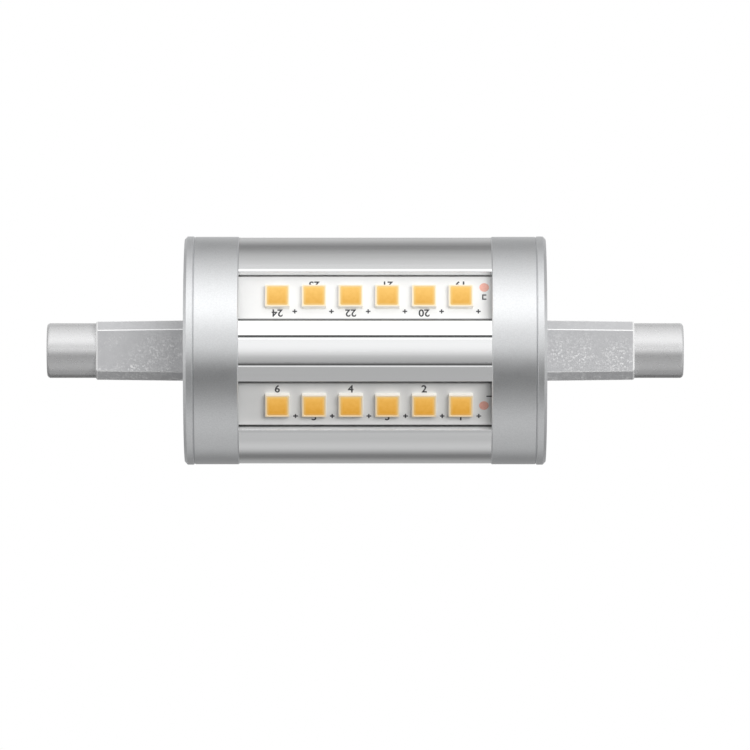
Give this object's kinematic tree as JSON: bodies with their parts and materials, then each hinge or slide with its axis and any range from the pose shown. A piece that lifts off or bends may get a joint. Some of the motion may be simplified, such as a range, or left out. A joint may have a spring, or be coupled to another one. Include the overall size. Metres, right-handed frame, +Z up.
{
  "type": "linear led bulb",
  "caption": "Double-ended linear LED bulb: round aluminium heat sink with rows of LEDs in its flats, silver end sleeves and caps, and square posts with round recessed contact ends.",
  "frame": {"origin": "middle of the lamp, on its axis", "axes": "+X along the lamp's axis, front bar towards -Y, +Z up"},
  "size_m": [0.078, 0.028, 0.028],
  "materials": {
    "extruded_aluminium": "satin",
    "silver_band": "satin",
    "sparkle_grey": "satin",
    "smooth_grey": "satin",
    "contact_metal": "polished",
    "board_white": "satin",
    "led_white": "satin",
    "led_yellow": "satin",
    "tube_plastic": "satin",
    "board_green": "satin",
    "black_package": "matte",
    "resistor_body": "satin",
    "capacitor_can": "satin",
    "ferrite": "matte",
    "copper_wire": "satin",
    "wire_cover": "satin"
  },
  "bodies": {
    "root": {"heat_sink": "extruded_aluminium", "end_sleeve_left": "silver_band", "end_cap_left": "silver_band", "contact_post_left": "sparkle_grey", "end_insulator_left": "smooth_grey", "end_contact_left": "contact_metal", "supply_wire_left": "wire_cover", "end_sleeve_right": "silver_band", "end_cap_right": "silver_band", "contact_post_right": "sparkle_grey", "end_insulator_right": "smooth_grey", "end_contact_right": "contact_metal", "supply_wire_right": "wire_cover", "led_board_front_upper": "board_white", "led_fill_front_upper": "led_yellow", "led_board_front_lower": "board_white", "led_fill_front_lower": "led_yellow", "led_board_rear_upper": "board_white", "led_fill_rear_upper": "led_yellow", "led_board_rear_lower": "board_white", "led_fill_rear_lower": "led_yellow", "led_01": "led_white", "led_02": "led_white", "led_03": "led_white", "led_04": "led_white", "led_05": "led_white", "led_06": "led_white", "led_07": "led_white", "led_08": "led_white", "led_09": "led_white", "led_10": "led_white", "led_11": "led_white", "led_12": "led_white", "led_13": "led_white", "led_14": "led_white", "led_15": "led_white", "led_16": "led_white", "led_17": "led_white", "led_18": "led_white", "led_19": "led_white", "led_20": "led_white", "led_21": "led_white", "led_22": "led_white", "led_23": "led_white", "led_24": "led_white", "insulating_tube": "tube_plastic", "driver_board": "board_green", "bridge_rectifier": "black_package", "control_chip": "black_package", "chip_resistors": "black_package", "fuse_resistor": "resistor_body", "input_capacitor": "capacitor_can", "output_capacitor": "capacitor_can", "transformer_core": "ferrite", "transformer_coil": "copper_wire", "led_leads": "copper_wire", "board_links": "copper_wire"}
  },
  "joints": []
}
